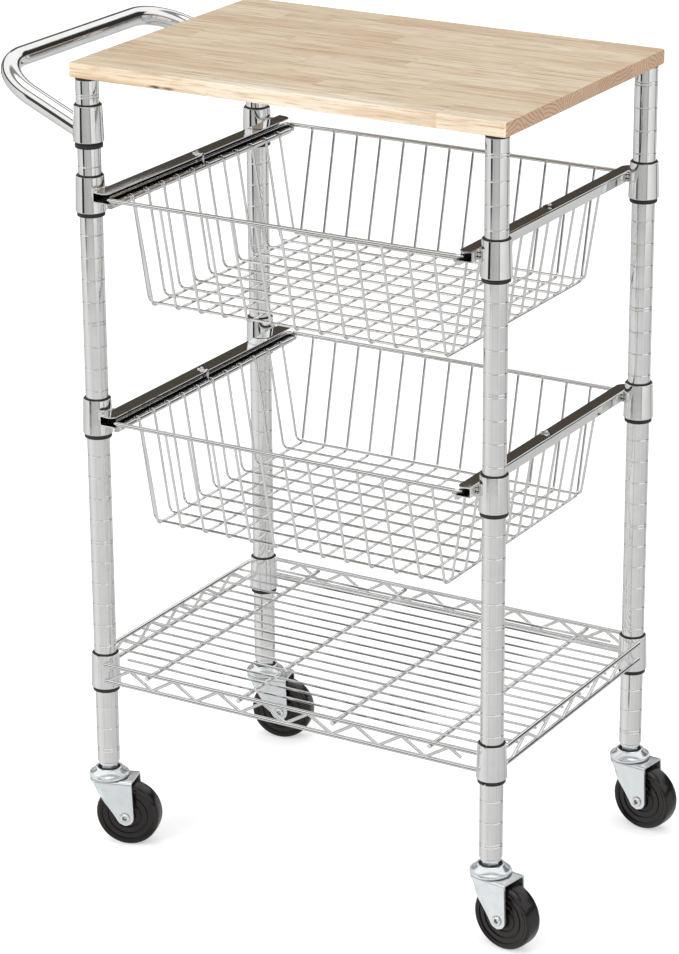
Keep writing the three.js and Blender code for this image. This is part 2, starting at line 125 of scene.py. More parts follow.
FORK_ROUND = 22.0
FORK_STRAIGHT_FROM = -11.5
FORK_SHEET = 2.5
FORK_TOP = 80.8
FORK_FOLD = 3.0
FORK_BOSS = 10.0
CHEEK_TOP = 80.0
RIVET_OUT = 18.8
BOARD_EASE = 1.6
BOARD_CORNER = 4.5

rng = random.Random(11)


# ---- places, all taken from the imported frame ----


def box_mm(node):
    """A node's lowest and highest corners in millimetres about the middle of the posts."""
    low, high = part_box(node)
    return (low - ORIGIN) / MM, (high - ORIGIN) / MM


def middle(node):
    low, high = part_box(node)
    return (low + high) / 2


ORIGIN = sum((middle(f"post_{corner}") for corner in CORNERS), Vector()) / 4
ORIGIN.z = 0
POSTS = {corner: (middle(f"post_{corner}") - ORIGIN) / MM for corner in CORNERS}
POST_X = POSTS["front_right"].x
POST_Y = POSTS["back_right"].y
POST_FOOT, POST_HEAD = (corner.z for corner in box_mm("post_front_left"))
COLLAR_TOPS = {tier: box_mm(f"rail_{tier}_left")[1].z for tier in TIERS}
SHELF_COLLAR_TOP = box_mm("shelf_front_truss")[1].z
HANDLE_COLLAR_TOP = box_mm("sleeve_handle_front")[1].z - SLEEVE_SHOWS_ABOVE


# ---- mesh building ----


def polar(radius, t, height):
    return Vector((radius * math.cos(t), radius * math.sin(t), height))


def circle(radius, height, sides):
    """Points round the Z axis."""
    return [polar(radius, 2 * math.pi * k / sides, height) for k in range(sides)]


def heading(path, i):
    """The direction of a path at one of its points."""
    return (path[min(i + 1, len(path) - 1)] - path[max(i - 1, 0)]).normalized()


class Shell:
    """The points and faces of one piece. Calls that add to it give it back."""

    def __init__(self):
        self.points = []
        self.faces = []

    def add(self, points, faces):
        base = len(self.points)
        self.points.extend(Vector(p) for p in points)
        self.faces.extend(tuple(base + i for i in face) for face in faces)
        return self

    def merge(self, other, matrix=None):
        moved = other.points if matrix is None else [matrix @ p for p in other.points]
        return self.add(moved, other.faces)

    def rings(self, rings, ends=True):
        """Skins between closed rings of points, and over the first and last if ends is true."""
        count = len(rings[0])
        points = [p for ring in rings for p in ring]
        faces = []
        for row in range(len(rings) - 1):
            for i in range(count):
                a = row * count + i
                b = row * count + (i + 1) % count
                faces.append((a, b, b + count, a + count))
        if ends:
            faces.append(tuple(reversed(range(count))))
            last = (len(rings) - 1) * count
            faces.append(tuple(last + i for i in range(count)))
        return self.add(points, faces)

    def tube(self, path, radius, sides=10, taper=0.82):
        """A round bar along a path, with slightly eased ends."""
        path = [Vector(p) for p in path]
        start = (path[1] - path[0]).normalized()
        stop = (path[-1] - path[-2]).normalized()
        ease = radius * 0.25
        path = [path[0], path[0] + start * ease, *path[1:-1], path[-1] - stop * ease, path[-1]]
        sizes = [radius * taper, *[radius] * (len(path) - 2), radius * taper]
        up = start.orthogonal().normalized()
        rings = []
        for i, point in enumerate(path):
            along = heading(path, i)
            up = (up - along * up.dot(along)).normalized()
            side = along.cross(up)
            turn = [2 * math.pi * k / sides for k in range(sides)]
            rings.append([point + (up * math.cos(t) + side * math.sin(t)) * sizes[i] for t in turn])
        return self.rings(rings)

    def lathe(self, profile, centre=(0, 0, 0), sides=48, closed=False):
        """Turns (radius, height) pairs about Z. A closed profile makes a ring."""
        centre = Vector(centre)
        outline = profile + profile[:1] * closed
        rings = [[centre + p for p in circle(radius, height, sides)] for radius, height in outline]
        return self.rings(rings, ends=not closed)


def bent(points, radius, steps=5):
    """A polyline with its corners rounded."""
    points = [Vector(p) for p in points]
    path = [points[0]]
    for before, corner, after in zip(points, points[1:], points[2:]):
        a = (before - corner).normalized()
        b = (after - corner).normalized()
        half = a.angle(b) / 2
        reach = min(radius / math.tan(half), 0.49 * min((before - corner).length, (after - corner).length))
        centre = corner + (a + b).normalized() * (reach / math.cos(half))
        first = corner + a * reach - centre
        last = corner + b * reach - centre
        spread = first.angle(last)
        for k in range(steps + 1):
            t = k / steps
            weights = math.sin((1 - t) * spread), math.sin(t * spread)
            path.append(centre + (first * weights[0] + last * weights[1]) / math.sin(spread))
    path.append(points[-1])
    return path


def spread_out(count, pitch):
    """Places at a pitch, centred on zero."""
    return [(i - (count - 1) / 2) * pitch for i in range(count)]


def mirrored(shell, flip):
    """A copy turned into its mirror image. flip is (-1, 1, 1) across X or (1, -1, 1) across Y."""
    image = Shell()
    image.points = [Vector(value * sign for value, sign in zip(p, flip)) for p in shell.points]
    image.faces = [tuple(reversed(face)) for face in shell.faces]
    return image


def axle_piece(half, sides, closed=False):
    """A piece turned about Y and alike at both ends. half is its outline at one end, outwards."""
    outline = [(r, -h) for r, h in half] + [(r, h) for r, h in reversed(half)]
    upright = Shell().lathe(outline, sides=sides, closed=closed)
    return Shell().merge(upright, Matrix.Rotation(math.pi / 2, 4, "X"))


def make(name, shell, body, material, slot, *nodes, crease=35):
    """Makes the piece, lets it ride on its body and hides the CAD nodes it stands for."""
    mesh = bpy.data.meshes.new(name)
    mesh.from_pydata([tuple(p * MM + ORIGIN) for p in shell.points], [], shell.faces)
    mesh.shade_smooth()
    mesh.set_sharp_from_angle(angle=math.radians(crease))
    for each in material if isinstance(material, tuple) else (material,):
        mesh.materials.append(each)
    piece = bpy.data.objects.new(name, mesh)
    bpy.context.scene.collection.objects.link(piece)
    flat = piece.modifiers.new("flat_faces", "WEIGHTED_NORMAL")
    flat.keep_sharp = True
    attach(piece, body)
    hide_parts(*nodes)
    return piece


# ---- materials ----


class Nodes:
    """Short calls for building the node tree of one material, or of the world."""

    def __init__(self, owner):
        owner.use_nodes = True
        self.owner = owner
        self.tree = owner.node_tree

    def new(self, kind, **values):
        node = self.tree.nodes.new(kind)
        for key, value in values.items():
            setattr(node, key, value)
        return node

    def link(self, a, b):
        self.tree.links.new(a, b)

    def put(self, node, **values):
        for key, value in values.items():
            node.inputs[key.replace("_", " ")].default_value = value

    def position(self, scale=(1, 1, 1)):
        """Object coordinates in metres, stretched by scale."""
        return self.mapped(self.new("ShaderNodeTexCoord").outputs["Object"], scale)

    def mapped(self, vector, scale, shift=(0, 0, 0)):
        node = self.new("ShaderNodeMapping")
        self.put(node, Scale=scale, Location=shift)
        self.link(vector, node.inputs["Vector"])
        return node.outputs["Vector"]

    def split(self, vector):
        """The three parts of a vector."""
        node = self.new("ShaderNodeSeparateXYZ")
        self.link(vector, node.inputs[0])
        return node.outputs

    def noise(self, vector, scale, detail=4.0, rough=0.5, distortion=0.0):
        node = self.new("ShaderNodeTexNoise")
        self.put(node, Scale=scale, Detail=detail, Roughness=rough, Distortion=distortion)
        self.link(vector, node.inputs["Vector"])
        return node.outputs["Fac"]

    def math(self, operation, a, b=None, c=None):
        node = self.new("ShaderNodeMath", operation=operation)
        for i, value in enumerate((a, b, c)):
            if value is None:
                continue
            if isinstance(value, (int, float)):
                node.inputs[i].default_value = value
            else:
                self.link(value, node.inputs[i])
        return node.outputs[0]

    def ramp(self, factor, *stops):
        node = self.new("ShaderNodeValToRGB")
        elements = node.color_ramp.elements
        while len(elements) < len(stops):
            elements.new(0.5)
        for element, (place, colour) in zip(elements, stops):
            element.position = place
            element.color = (*colour, 1)
        self.link(factor, node.inputs["Fac"])
        return node.outputs["Color"]

    def blend(self, factor, a, b, mode="MIX"):
        node = self.new("ShaderNodeMix", data_type="RGBA", blend_type=mode)
        for socket, value in ((node.inputs[0], factor), (node.inputs[6], a), (node.inputs[7], b)):
            if isinstance(value, (int, float)):
                socket.default_value = value
            elif isinstance(value, tuple):
                socket.default_value = (*value, 1)
            else:
                self.link(value, socket)
        return node.outputs[2]

    def stain(self, amount, colour, factor, *stops):
        """Multiplies a colour by a ramp."""
        return self.blend(amount, colour, self.ramp(factor, *stops), "MULTIPLY")

    def bump(self, height, distance, strength=1.0, below=None):
        node = self.new("ShaderNodeBump")
        self.put(node, Distance=distance, Strength=strength)
        self.link(height, node.inputs["Height"])
        if below is not None:
            self.link(below, node.inputs["Normal"])
        return node.outputs["Normal"]

    def finish(self, colour, roughness=None, normal=None, **values):
        """Links what varies to the material's shader, and sets its even values."""
        shader = self.tree.nodes["Principled BSDF"]
        for socket, value in (("Base Color", colour), ("Roughness", roughness), ("Normal", normal)):
            if value is not None:
                self.link(value, shader.inputs[socket])
        self.put(shader, **values)
        return self.owner


def new_material(name):
    return Nodes(bpy.data.materials.new(name))


def grey(value, warmth=0.0):
    return (value * (1 + warmth), value, value * (1 - warmth))


def plated(name, tint, dull, ripple, stretch, channel_foot=None):
    """Bright plating: faint cloudy tint, uneven polish and a slight ripple in its reflections.

    channel_foot is the height of a rail's foot. The rail then gets painted shade, near black, inside its
    channel.
    """
    n = new_material(name)
    cloud = n.noise(n.position(), 38, 5, 0.6)
    colour = n.ramp(cloud, (0.3, tuple(c * 0.93 for c in tint)), (0.7, tint))
    if channel_foot is not None:
        # painted shade: the channel's inward web and upward bed are blended almost fully to near black
        colour = n.blend(n.math("MULTIPLY", channel_painted_shade(n, channel_foot), 0.94), colour, CHANNEL_SHADE_PAINT)
    drawn = n.noise(n.position(stretch), 260, 3, 0.55)
    polish = n.ramp(drawn, (0.35, grey(dull * 0.75)), (0.7, grey(dull * 1.35)))
    wave = n.bump(n.noise(n.position(stretch), 55, 2, 0.5), 0.0004, ripple)
    return n.finish(colour, polish, n.bump(drawn, 0.00003, 0.5, wave), Metallic=1.0)


def channel_painted_shade(n, foot):
    """Where a rail gets painted shade: its web facing inwards and its bed facing up, but for one line along
    the bed.
    """
    coordinates = n.new("ShaderNodeTexCoord")
    x, _, z = n.split(coordinates.outputs["Object"])
    facing_x, _, facing_z = n.split(coordinates.outputs["Normal"])
    out = n.math("ABSOLUTE", n.math("SUBTRACT", x, ORIGIN.x))
    web = n.math("COMPARE", out, (RAIL_WEB - RAIL_SHEET) * MM, 0.0006)
    web = n.math("MULTIPLY", web, n.math("GREATER_THAN", n.math("ABSOLUTE", facing_x), 0.6))
    bed = n.math("COMPARE", z, (foot + RAIL_SHEET) * MM, 0.0006)
    bed = n.math("MULTIPLY", bed, n.math("GREATER_THAN", facing_z, 0.6))
    # a line along the bed is left out of the painted shade, so the chrome shows bright there
    unshaded_line = n.math("COMPARE", out, (RAIL_WEB - RAIL_UNSHADED_LINE) * MM, 0.0009)
    return n.math("MAXIMUM", web, n.math("MULTIPLY", bed, n.math("SUBTRACT", 1.0, unshaded_line)))


def zinc_plate():
    """Zinc: a cool, satin, slightly blotched plate, with painted shade in its corners."""
    n = new_material("zinc_plate")
    blotch = n.noise(n.position(), 90, 6, 0.62, 0.4)
    colour = n.ramp(blotch, (0.3, (0.78, 0.84, 0.87)), (0.55, (0.87, 0.90, 0.91)), (0.75, (0.91, 0.91, 0.88)))
    grain = n.noise(n.position(), 1400, 3, 0.6)
    # painted shade: ambient occlusion darkens the colour in corners and recesses
    shade = n.new("ShaderNodeAmbientOcclusion", samples=6)
    n.put(shade, Distance=0.006)
    colour = n.stain(1.0, colour, shade.outputs["AO"], (0.25, grey(0.22)), (0.85, grey(1.0)))
    polish = n.ramp(blotch, (0.3, grey(0.12)), (0.7, grey(0.24)))
    return n.finish(colour, polish, n.bump(grain, 0.00003, 0.4), Metallic=0.8)


def black_plastic():
    """Black moulded plastic with a fine grain."""
    n = new_material("black_plastic")
    fine = n.noise(n.position(), 2200, 2, 0.6)
    cloud = n.noise(n.position(), 160, 4, 0.6)
    colour = n.ramp(cloud, (0.3, (0.010, 0.010, 0.011)), (0.7, (0.020, 0.019, 0.019)))
    polish = n.ramp(cloud, (0.3, grey(0.42)), (0.7, grey(0.55)))
    return n.finish(colour, polish, n.bump(fine, 0.00004, 0.6))


def wheel_rubber():
    """Hard moulded tread: almost black and brown, with dusty scuffs."""
    n = new_material("wheel_rubber")
    dust = n.noise(n.position(), 120, 6, 0.68, 0.3)
    colour = n.ramp(dust, (0.35, (0.0070, 0.0052, 0.0048)), (0.62, (0.011, 0.0083, 0.0076)),
                    (0.8, (0.022, 0.018, 0.0165)))
    polish = n.ramp(dust, (0.3, grey(0.13)), (0.75, grey(0.30)))
    grain = n.noise(n.position(), 900, 4, 0.6)
    return n.finish(colour, polish, n.bump(grain, 0.00004, 0.4), Specular_IOR_Level=0.5)


def wood(name, end):
    """Pale hardwood staves along X, each of a few blocks joined end to end. end is for the cut ends."""
    n = new_material(name)
    coordinates = n.new("ShaderNodeTexCoord")
    position = coordinates.outputs["Object"]
    x, y, z = n.split(position)
    across = n.math("DIVIDE", n.math("SUBTRACT", y, BOARD_LOW.y), STAVE_WIDTH)
    row = n.math("FLOOR", across)
    shift = n.math("MULTIPLY", n.math("FRACT", n.math("MULTIPLY", row, STAVE_STAGGER)), BLOCK_LENGTH)
    along = n.math("DIVIDE", n.math("ADD", n.math("ADD", x, shift), FIRST_JOINT), BLOCK_LENGTH)
    key = n.new("ShaderNodeCombineXYZ")
    n.link(row, key.inputs[0])
    n.link(n.math("FLOOR", along), key.inputs[1])
    key.inputs[2].default_value = WOOD_SEED
    dice = n.new("ShaderNodeTexWhiteNoise", noise_dimensions="3D")
    n.link(key.outputs[0], dice.inputs["Vector"])
    # every block has its own place in the grain
    jump = n.new("ShaderNodeVectorMath", operation="MULTIPLY_ADD")
    n.link(dice.outputs["Color"], jump.inputs[0])
    jump.inputs[1].default_value = (3.0, 1.0, 1.0)
    n.link(position, jump.inputs[2])

    def grain(scale, size, detail, rough, distortion=0.0):
        return n.noise(n.mapped(jump.outputs[0], scale), size, detail, rough, distortion)

    if end:
        pores = grain((1, 1, 1), 1100, 2, 0.6)
        colour = end_grain(n, grain, n.split(dice.outputs["Color"]), n.math("SUBTRACT", across, row), z)
        colour = n.stain(0.5, colour, pores, (0.35, (0.72, 0.66, 0.60)), (0.6, WHITE))
    else:
        pores = grain((0.04, 1, 1), 540, 4, 0.65)
        colour = long_grain(n, grain, dice.outputs["Value"], across, x)
        streaks = ((0.36, (0.62, 0.50, 0.40)), (0.47, WHITE), (0.7, (1.04, 1.03, 1.02)))
        colour = n.stain(0.75, colour, pores, *streaks)
        glue = n.math("LESS_THAN", n.math("PINGPONG", across, 0.5), 0.006)
        butt = n.math("LESS_THAN", n.math("PINGPONG", along, 0.5), 0.0011)
        seam = n.math("MULTIPLY", n.math("MAXIMUM", glue, butt), 0.28)
        colour = n.blend(seam, colour, (0.36, 0.23, 0.13))
        colour = n.blend(pin_knot(n, position), colour, (0.060, 0.026, 0.014))
    # painted shade: faces looking down, the board's underside, are darkened to under half, in the face and
    # end-grain finishes alike
    facing_z = n.split(coordinates.outputs["Normal"])[2]
    colour = n.blend(n.math("LESS_THAN", facing_z, -0.7), colour, (0.46, 0.46, 0.47), "MULTIPLY")
    polish = n.ramp(pores, (0.3, grey(0.56)), (0.7, grey(0.44)))
    return n.finish(colour, polish, n.bump(pores, 0.00008, 0.4), Coat_Weight=0.08, Coat_Roughness=0.4)


def end_grain(n, grain, dice, inside, z):
    """Arcs of yearly rings about a heart that lies somewhere near each stave."""
    aside = n.math("SUBTRACT", inside, n.math("MULTIPLY_ADD", dice[0], 2.4, -0.7))
    aside = n.math("MULTIPLY", aside, STAVE_WIDTH)
    above = n.math("SUBTRACT", z, n.math("MULTIPLY_ADD", dice[1], 0.11, BOARD_LOW.z - 0.05))
    square = n.math("ADD", n.math("POWER", aside, 2.0), n.math("POWER", above, 2.0))
    wander = n.math("MULTIPLY", grain((1, 1, 1), 45, 2, 0.5), 0.012)
    radius = n.math("ADD", n.math("SQRT", square), wander)
    lines = n.math("PINGPONG", n.math("DIVIDE", radius, YEAR_RING), 0.5)
    colour = n.ramp(lines, (0.0, WOOD_END_DARK), (0.3, WOOD_END_LIGHT))
    return n.stain(0.35, colour, dice[2], (0.0, (0.74, 0.62, 0.52)), (1.0, (1.0, 0.98, 0.95)))


def long_grain(n, grain, dice, across, x):
    """The figure along the staves. The front stave is paler sapwood towards its middle."""
    figure = n.math("PINGPONG", n.math("MULTIPLY", grain((0.09, 1, 1), 30, 2, 0.5, 0.7), 9.0), 0.5)
    bands = grain((0.02, 1, 1), 150, 5, 0.6)
    cloud = grain((0.35, 1, 1), 14, 3, 0.5)
    colour = n.ramp(dice, (0.0, WOOD_WARM), (0.5, WOOD_MID), (1.0, WOOD_PALE))
    drift = n.ramp(cloud, (0.3, WOOD_WARM), (0.5, WOOD_MID), (0.7, WOOD_PALE))
    colour = n.blend(0.55, colour, drift)
    share = n.math("DIVIDE", n.math("SUBTRACT", x, BOARD_LOW.x), BOARD_HIGH.x - BOARD_LOW.x)
    sap = n.ramp(share, (0.26, grey(0.05)), (0.42, grey(0.75)), (0.62, grey(0.7)), (0.8, grey(0.35)))
    colour = n.blend(n.math("MULTIPLY", sap, n.math("LESS_THAN", across, 0.5)), colour, WOOD_SAP)
    shades = ((0.0, (0.74, 0.64, 0.53)), (0.16, (0.97, 0.96, 0.94)), (0.5, WHITE))
    colour = n.stain(0.5, colour, figure, *shades)
    return n.stain(0.9, colour, bands, (0.3, (0.74, 0.65, 0.55)), (0.50, WHITE))


def pin_knot(n, position):
    """A short dark streak low on the front edge, and a fainter one beside it."""
    found = None
    for offset, weight in KNOT_MARKS:
        place_at = KNOT + Vector((offset, 0, -0.0006))
        spot = n.mapped(position, KNOT_SHAPE, [-p * k for p, k in zip(place_at, KNOT_SHAPE)])
        warp = n.noise(spot, 1.3, 3, 0.6)
        away = n.new("ShaderNodeVectorMath", operation="LENGTH")
        n.link(spot, away.inputs[0])
        reach = n.math("ADD", away.outputs["Value"], n.math("MULTIPLY", warp, 1.6))
        depth = n.math("MAXIMUM", n.math("SUBTRACT", 2.15, reach), 0.0)
        mark = n.math("MULTIPLY", n.math("SMOOTH_MIN", depth, 1.0, 0.1), weight)
        found = mark if found is None else n.math("MAXIMUM", found, mark)
    return found


# the wood's sizes, in metres, and its colours
BOARD_LOW, BOARD_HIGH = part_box("butcher_block_top")
STAVE_WIDTH = (BOARD_HIGH.y - BOARD_LOW.y) / 9
STAVE_STAGGER = 0.618
BLOCK_LENGTH = 0.275
FIRST_JOINT = 0.0505
KNOT = Vector((BOARD_LOW.x + 0.112, BOARD_LOW.y, BOARD_LOW.z + 0.003))
KNOT_SHAPE = (130.0, 500.0, 620.0)
KNOT_MARKS = ((0.0, 1.0), (0.016, 0.8))
YEAR_RING = 0.0046
WOOD_SEED = 3.0
WOOD_WARM = (0.66, 0.495, 0.345)
WOOD_MID = (0.745, 0.615, 0.455)
WOOD_PALE = (0.81, 0.71, 0.55)
WOOD_SAP = (0.93, 0.87, 0.75)
WOOD_END_DARK = (0.43, 0.25, 0.15)
WOOD_END_LIGHT = (0.62, 0.44, 0.30)
WHITE = (1, 1, 1)
# painted shade, near black, for the inside of the rails' channels
CHANNEL_SHADE_PAINT = (0.012, 0.012, 0.012)

POST_CHROME = plated("post_chrome", (0.95, 0.95, 0.94), 0.07, 0.22, (1, 1, 0.12))
RAIL_CHROME = {}
for tier in TIERS:
    rail = (f"rail_chrome_{tier}", (0.93, 0.93, 0.92), 0.065, 0.16, (1, 0.15, 1))
    RAIL_CHROME[tier] = plated(*rail, COLLAR_TOPS[tier] - RAIL_FOOT_BELOW)
WIRE_CHROME = plated("wire_chrome", (0.95, 0.95, 0.945), 0.12, 0.10, (1, 1, 1))
ZINC = zinc_plate()
PLASTIC = black_plastic()
RUBBER = wheel_rubber()
WOOD_FACE = wood("board_wood", False)
WOOD_END = wood("board_end_grain", True)


# ---- posts and their caps ----


def groove(height):
    """The rolled groove that a collar's sleeve snaps into, as part of the post's outline."""
    shape = ((-1.0, 0.0), (-0.72, 0.12), (-0.36, 0.85), (0.0, 1.0), (0.36, 0.85), (0.72, 0.12), (1.0, 0.0))
    return [(POST_RADIUS - GROOVE_DEPTH * deep, height + GROOVE_HALF * side) for side, deep in shape]


def groove_heights():
    """A groove every inch, and a twin beside the first one and every tenth after it."""
    heights = []
    for k in range(GROOVES):
        height = FIRST_GROOVE + GROOVE_PITCH * k
        heights.append(height)
        if k % TWIN_EVERY == 0:
            heights.append(height + (TWIN_OFFSET if k >= TWIN_ABOVE_FROM else -TWIN_OFFSET))
    return sorted(heights)


def post_shell():
    length = POST_HEAD - POST_FOOT
    inner = POST_RADIUS - POST_WALL
    outline = [(inner, 0.4), (inner + 0.4, 0), (POST_RADIUS - 0.5, 0), (POST_RADIUS, 0.5)]
    for height in groove_heights():
        outline += groove(height)
    outline += [(POST_RADIUS, length - 0.5), (POST_RADIUS - 0.5, length), (inner, length)]
    return Shell().lathe(outline, (0, 0, POST_FOOT), 56, closed=True)


def cap_shell(low, high):
    """A moulded plug with a rounded brim between the post and the board."""
    plug = POST_RADIUS - POST_WALL - 0.6
    brim = POST_RADIUS + 0.1
    foot = high - low
    return Shell().lathe([
        (0.5, 0), (plug - 1, 0), (plug, 1.2), (plug, foot - 1.9), (brim - 0.5, foot - 1.8),
        (brim, foot - 1.3), (brim, foot - 0.5), (brim - 0.5, foot), (0.5, foot),
    ], (0, 0, low), 48)


def place(shell, at):
    return Shell().merge(shell, Matrix.Translation((at.x, at.y, 0)))


def build_posts():
    post = post_shell()
    for corner in CORNERS:
        at = POSTS[corner]
        tube = place(post, at)
        make(f"post_tube_{corner}", tube, "frame", POST_CHROME, "post_chrome", f"post_{corner}", crease=60)
        low, high = box_mm(f"post_cap_{corner}")
        cap = place(cap_shell(low.z, high.z), at)
        make(f"post_plug_{corner}", cap, "frame", PLASTIC, "black_plastic", f"post_cap_{corner}")


# ---- collars and sleeves ----


def collar(shell, at, top):
    """A tapered steel cup with eased edges."""
    foot = top - COLLAR_HEIGHT
    outline = [
        (COLLAR_BORE, foot + 0.5), (COLLAR_BORE + 0.4, foot), (COLLAR_FOOT_RADIUS - 0.6, foot),
        (COLLAR_FOOT_RADIUS - 0.15, foot + 0.25), (COLLAR_FOOT_RADIUS, foot + 0.9),
        (COLLAR_TOP_RADIUS + 0.05, top - 0.8), (COLLAR_TOP_RADIUS - 0.1, top - 0.2),
        (COLLAR_TOP_RADIUS - 0.4, top), (COLLAR_BORE + 0.3, top), (COLLAR_BORE, top - 0.4),
    ]
    shell.lathe(outline, (at.x, at.y, 0), 56, closed=True)


def sleeve_shell(low, high, slit_at):
    """A split plastic sleeve with a lip at its foot."""
    tall = high - low
    lip, body, bore = SLEEVE_LIP, SLEEVE_BODY, SLEEVE_BORE
    outline = [
        (bore, 0.3), (bore + 0.4, 0), (lip - 0.7, 0), (lip - 0.15, 0.3), (lip, 0.9), (lip, 4.2),
        (lip - 0.3, 4.7), (body, 4.9), (body, tall - 0.6), (body - 0.3, tall), (bore, tall),
    ]
    turns = 60
    rings = []
    for k in range(turns + 1):
        t = slit_at + SLEEVE_SLIT + (2 * math.pi - 2 * SLEEVE_SLIT) * k / turns
        rings.append([polar(r, t, low + h) for r, h in outline])
    return Shell().rings([list(reversed(ring)) for ring in rings])


def build_sleeves():
    slits = {"shelf_front_right": -92, "upper_rail_back_right": 100, "shelf_front_left": 170}
    for node in sorted(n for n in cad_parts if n.startswith("sleeve_")):
        low, high = box_mm(node)
        role = node[len("sleeve_"):]
        slit_at = math.radians(slits.get(role, rng.uniform(20, 200)))
        at = (low + high) / 2
        at.x = math.copysign(POST_X, at.x)
        drop = 1.8 if "handle" in role else 0.0
        shell = place(sleeve_shell(low.z - drop, high.z, slit_at), at)
        make(f"split_{node}", shell, "frame", PLASTIC, "black_plastic", node)


# ---- weld beads ----


def bead(shell, at, size, stretch=(1, 1, 1)):
    """One small lump of weld."""
    rows, turns = 5, 8
    rings = []
    for i in range(1, rows):
        rise = math.pi * i / rows
        ring = []
        for k in range(turns):
            t = 2 * math.pi * k / turns
            wobble = size * (1 + 0.14 * math.sin(3 * t + i))
            reach = polar(math.sin(rise), t, -math.cos(rise))
            ring.append(Vector(at) + Vector(r * s for r, s in zip(reach, stretch)) * wobble)
        rings.append(ring)
    shell.rings(rings)


# ---- push handle ----


def handle_arms():
    """The way out along each arm, and where the arms' axes leave the posts' axes."""
    outward = Vector((-math.cos(HANDLE_RISE), 0, math.sin(HANDLE_RISE)))
    root_z = HANDLE_COLLAR_TOP - HANDLE_ROOT_BELOW
    return outward, [Vector((-POST_X, side * POST_Y, root_z)) for side in (-1, 1)]


def handle_path():
    outward, roots = handle_arms()
    low, _ = box_mm("push_handle")
    arm = (-low.x - HANDLE_RADIUS - POST_X) / math.cos(HANDLE_RISE)
    corners = [root + outward * arm for root in roots]
    starts = [root + outward * 10 for root in roots]
    return bent([starts[0], corners[0], corners[1], starts[1]], HANDLE_BEND, 20)


def handle_welds(shell):
    """The bead that runs round each arm where it meets its collar."""
    outward, roots = handle_arms()
    lift = Vector((math.sin(HANDLE_RISE), 0, math.cos(HANDLE_RISE)))
    for at in roots:
        for k in range(HANDLE_BEADS):
            t = 2 * math.pi * k / HANDLE_BEADS
            ring = lift * math.cos(t) * HANDLE_RADIUS + Vector((0, math.sin(t) * HANDLE_RADIUS, 0))
            wall = COLLAR_TOP_RADIUS + (ring.z < 0) * 0.7
            depth = math.sqrt(wall ** 2 - ring.y ** 2)
            along = (depth + ring.x) / math.cos(HANDLE_RISE)
            bead(shell, at + ring + outward * along, 1.25, (1, 1.25, 1))


def build_handle():
    shell = Shell().tube(handle_path(), HANDLE_RADIUS, 40, taper=1.0)
    for corner in ("front_left", "back_left"):
        collar(shell, POSTS[corner], HANDLE_COLLAR_TOP)
    handle_welds(shell)
    make("handle_tube", shell, "frame", POST_CHROME, "post_chrome", "push_handle", crease=50)


# ---- basket rails ----


def rail_section(foot, top_flange, lip):
    """The folded channel's outline at one station, as a closed ring of (x, z) pairs."""
    s = RAIL_SHEET / 2
    top = foot + RAIL_HEIGHT - s
    edge = RAIL_WEB - RAIL_FOOT_FLANGE + s
    spine = bent([
        (RAIL_WEB - top_flange, top - RAIL_DROOP * top_flange, 0), (RAIL_WEB - s, top, 0),
        (RAIL_WEB - s, foot + s, 0), (edge, foot + s, 0), (edge, foot + s - lip, 0),
    ], 1.4, 4)
    outer, inner = [], []
    for i, point in enumerate(spine):
        along = heading(spine, i)
        side = Vector((-along.y, along.x, 0)) * s
        outer.append(point + side)
        inner.append(point - side)
    return outer + inner[::-1]


def rail_shell(tier):
    """A right-hand rail: the channel with chamfered ends, its catch, two collars and their welds."""
    foot = COLLAR_TOPS[tier] - RAIL_FOOT_BELOW
    shell = Shell()
    chamfer = [(RAIL_END, 6), (RAIL_END - 2.5, 2.5), (RAIL_END - 6, 0)]
    stations = [(-y, cut) for y, cut in chamfer] + [(-90, 0), (0, 0), (90, 0)] + chamfer[::-1]
    rings = []
    for y, cut in stations:
        lip = RAIL_LIP if abs(y) < RIM_Y else RAIL_LIP - 1.8
        section = rail_section(foot, RAIL_TOP_FLANGE - cut, lip)
        rings.append([Vector((p.x, y, p.y)) for p in section])
    shell.rings(rings)
    stop_tongue(shell, foot)
    for y in (-POST_Y, POST_Y):
        collar(shell, Vector((POST_X, y, 0)), COLLAR_TOPS[tier])
        for dy in (-7, -4.5, 4.5, 7):
            for dz, spread in ((1.5, 1), (6, 0.9), (10.5, 1)):
                bead(shell, (RAIL_WEB + 0.2, y + dy * spread, foot + dz), 1.5, (0.8, 1.2, 1.2))
    return shell


def stop_tongue(shell, foot):
    """The folded catch at mid length, with the round head that holds it."""
    top = foot + RAIL_HEIGHT
    face = RAIL_WEB - 18.4
    path = bent([(face, 0, foot + 2.4), (face, 0, top - 0.3), (RAIL_WEB - 6, 0, top + 0.5)], 2.2, 5)
    half = Vector((0, 1.7, 0))
    rings = []
    for i, point in enumerate(path):
        along = heading(path, i)
        normal = Vector((along.z, 0, -along.x)) * 0.6
        rings.append([point + normal + half, point + normal - half,
                      point - normal - half, point - normal + half])
    shell.rings(rings)
    head = [(0.2, -0.4), (2.3, 0), (2.2, 1.0), (1.5, 1.9), (0.6, 2.2), (0.05, 2.3)]
    shell.lathe(head, (RAIL_WEB - 11, 0, top + 0.4), 16)


def build_rails():
    for tier in TIERS:
        right = rail_shell(tier)
        for side, shell in (("right", right), ("left", mirrored(right, (-1, 1, 1)))):
            name = f"rail_channel_{tier}_{side}"
            make(name, shell, "frame", RAIL_CHROME[tier], "rail_chrome", f"rail_{tier}_{side}")


# ---- wire baskets ----


def rim_paths(rim):
    """The top loop, which also runs in the rails, and a second wire inside and below each side of it."""
    x, y = RIM_X, RIM_Y
    loop = [(0, -y, rim), (x, -y, rim), (x, y, rim), (-x, y, rim), (-x, -y, rim), (0, -y, rim)]
    sides = []
    for at in (-SIDE_WIRE_X, SIDE_WIRE_X):
        z = rim - SIDE_WIRE_DROP
        sides.append([(at, 1.5 - y, z + 0.2), (at, 0, z), (at, y - 1.5, z + 0.2)])
    return bent(loop, 8, 6), sides


